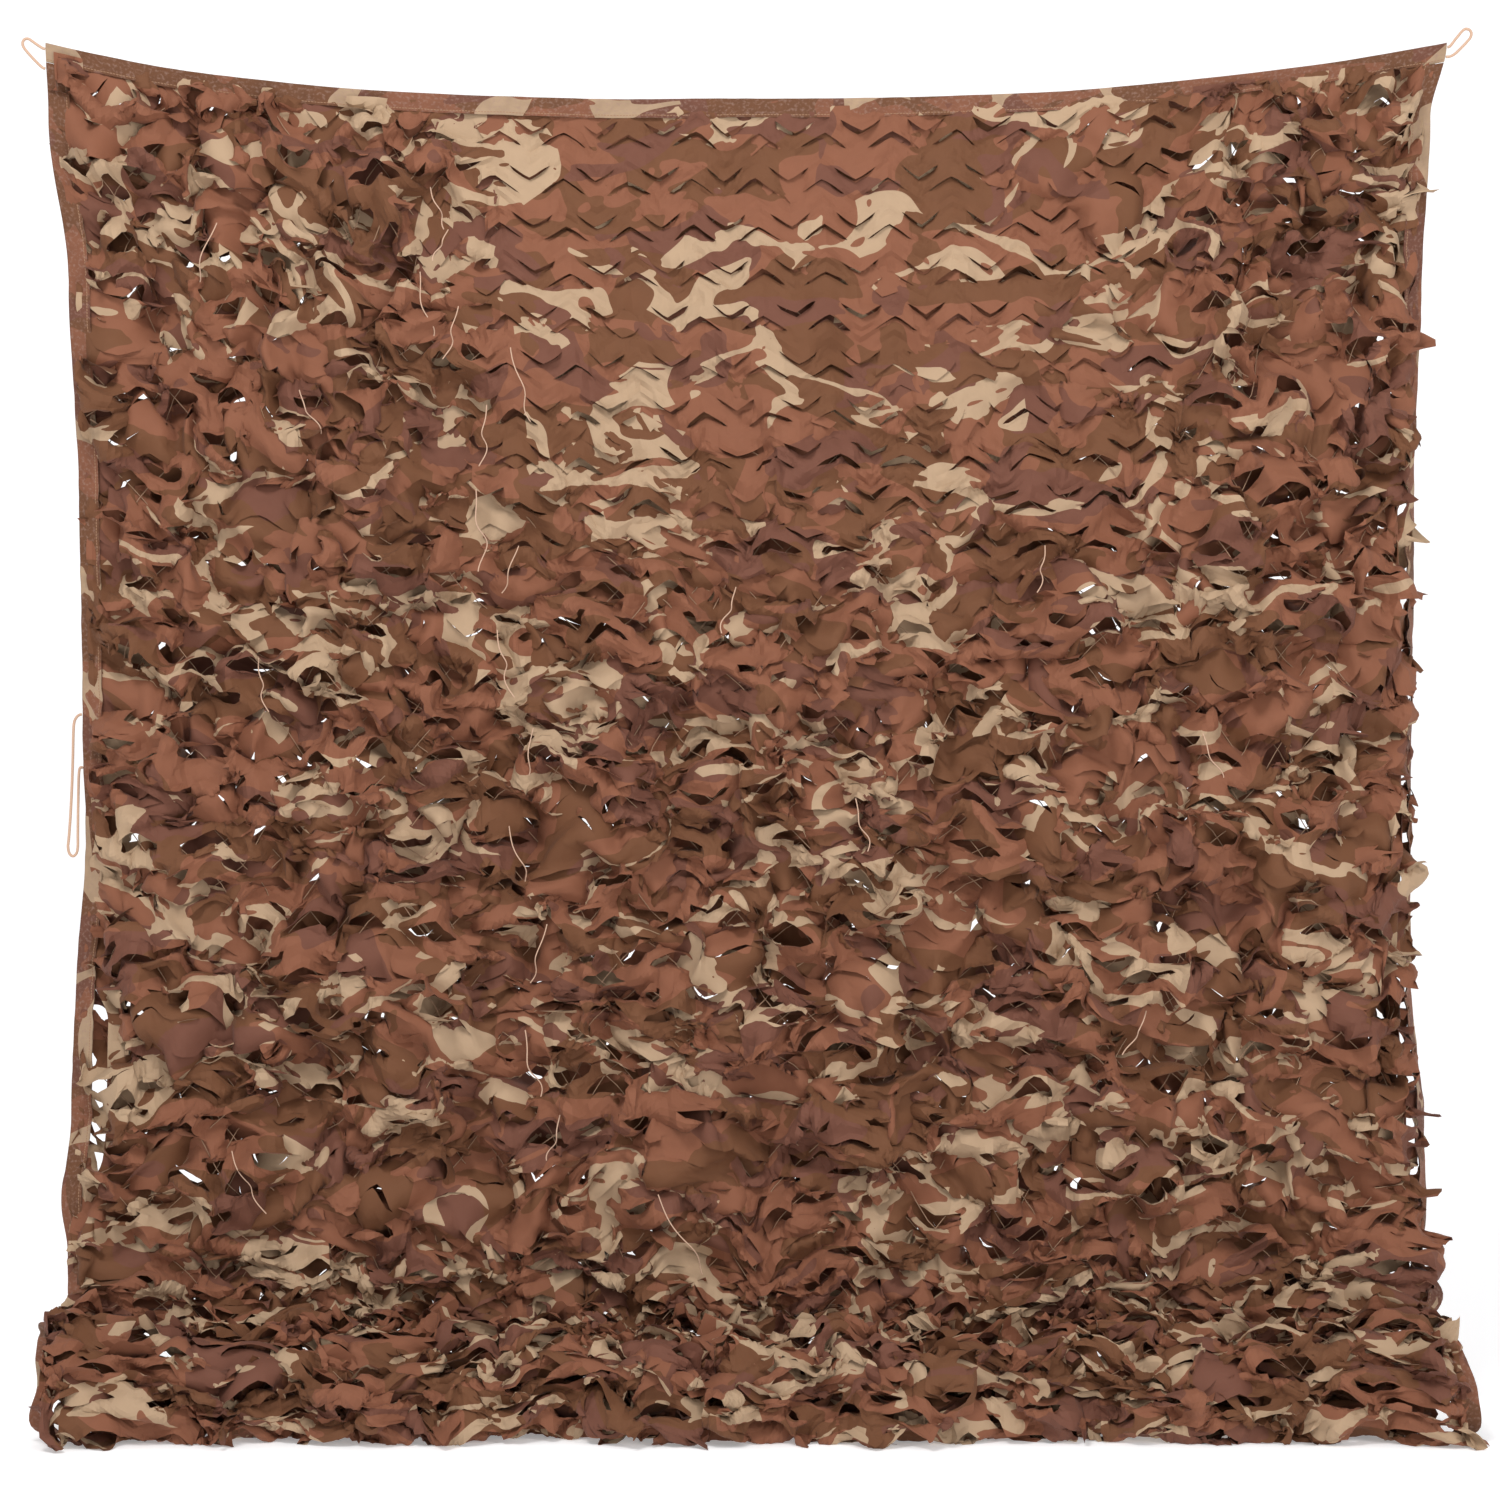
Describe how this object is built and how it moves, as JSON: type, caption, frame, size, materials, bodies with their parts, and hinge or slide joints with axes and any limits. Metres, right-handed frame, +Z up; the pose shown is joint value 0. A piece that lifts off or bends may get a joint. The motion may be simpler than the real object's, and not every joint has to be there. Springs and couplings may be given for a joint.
{
  "type": "camouflage netting",
  "caption": "Desert-coloured net of incised cloth with taped edges, hung by its top corners to screen or shade, its lower end heaped on the floor.",
  "frame": {"origin": "the middle of the top edge, where the net is held; the floor under the heap is 1.885 m below it", "axes": "+Z up, the net faces -Y, its width runs along X"},
  "size_m": [2.0746, 0.3508, 1.9855],
  "materials": {
    "printed_cloth": "matt woven polyester printed in tan and three browns",
    "binding_tape": "matt printed tape with stitched edges",
    "cord": "beige braided cord"
  },
  "bodies": {
    "root": {"net_cloth": "printed_cloth", "tape_top": "binding_tape", "tape_left": "binding_tape", "tape_right": "binding_tape", "tape_bottom": "binding_tape", "loop_left": "cord", "loop_right": "cord", "loop_slack": "cord"}
  },
  "joints": []
}
